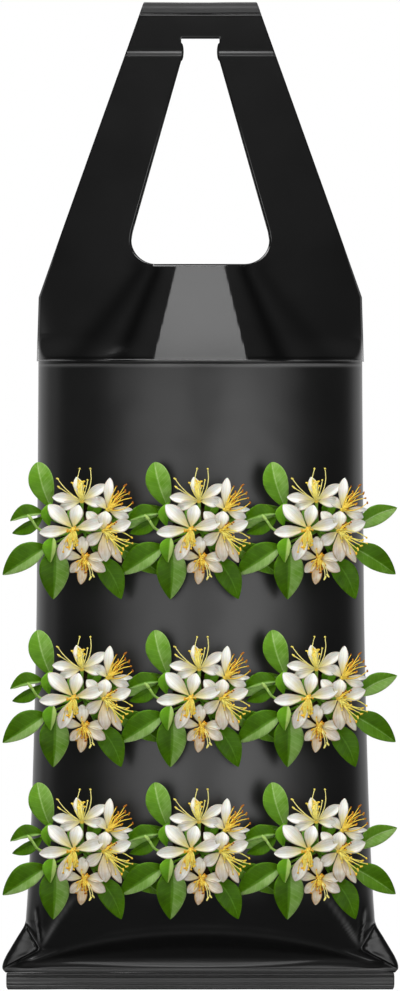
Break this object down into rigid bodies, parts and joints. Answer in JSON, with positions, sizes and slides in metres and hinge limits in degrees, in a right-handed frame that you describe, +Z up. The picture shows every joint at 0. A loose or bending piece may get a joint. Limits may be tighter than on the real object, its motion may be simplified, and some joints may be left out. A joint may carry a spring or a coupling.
{
  "type": "vertical grow bag",
  "caption": "Hanging film grow bag with a die-cut handle, a flat heat-sealed bottom bar, growing medium inside and flowering sprigs planted through its front.",
  "frame": {"origin": "middle of the throat's top edge, which rests on the hook or rail", "axes": "+Z up along the bag's length, +X to the right seen from the front, -Y out of the planted front"},
  "size_m": [0.2544, 0.1413, 0.6357],
  "materials": {
    "header_film": "satin",
    "handle_film": "satin",
    "tube_film": "satin",
    "sealed_film": "matte",
    "growing_medium": "matte",
    "root_ball": "matte",
    "leaf": "satin",
    "petal": "satin"
  },
  "bodies": {
    "header": {"header_panel": "header_film", "header_hem": "header_film"},
    "bag": {"handle_front": "handle_film", "handle_back": "handle_film", "bag_tube": "tube_film", "bottom_seal": "sealed_film", "growing_medium": "growing_medium", "root_ball_1_1": "root_ball", "root_ball_1_2": "root_ball", "root_ball_1_3": "root_ball", "root_ball_2_1": "root_ball", "root_ball_2_2": "root_ball", "root_ball_2_3": "root_ball", "root_ball_3_1": "root_ball", "root_ball_3_2": "root_ball", "root_ball_3_3": "root_ball", "foliage_1_1": "leaf", "foliage_1_2": "leaf", "foliage_1_3": "leaf", "foliage_2_1": "leaf", "foliage_2_2": "leaf", "foliage_2_3": "leaf", "foliage_3_1": "leaf", "foliage_3_2": "leaf", "foliage_3_3": "leaf", "blossoms_1_1": "petal", "blossoms_1_2": "petal", "blossoms_1_3": "petal", "blossoms_2_1": "petal", "blossoms_2_2": "petal", "blossoms_2_3": "petal", "blossoms_3_1": "petal", "blossoms_3_2": "petal", "blossoms_3_3": "petal"}
  },
  "joints": [
    {"name": "header_fold", "type": "hinge", "parent": "header", "child": "bag", "pos_m": [0, 0, -0.0095], "axis": [1, 0, 0], "range_deg": [-90, 90]}
  ]
}
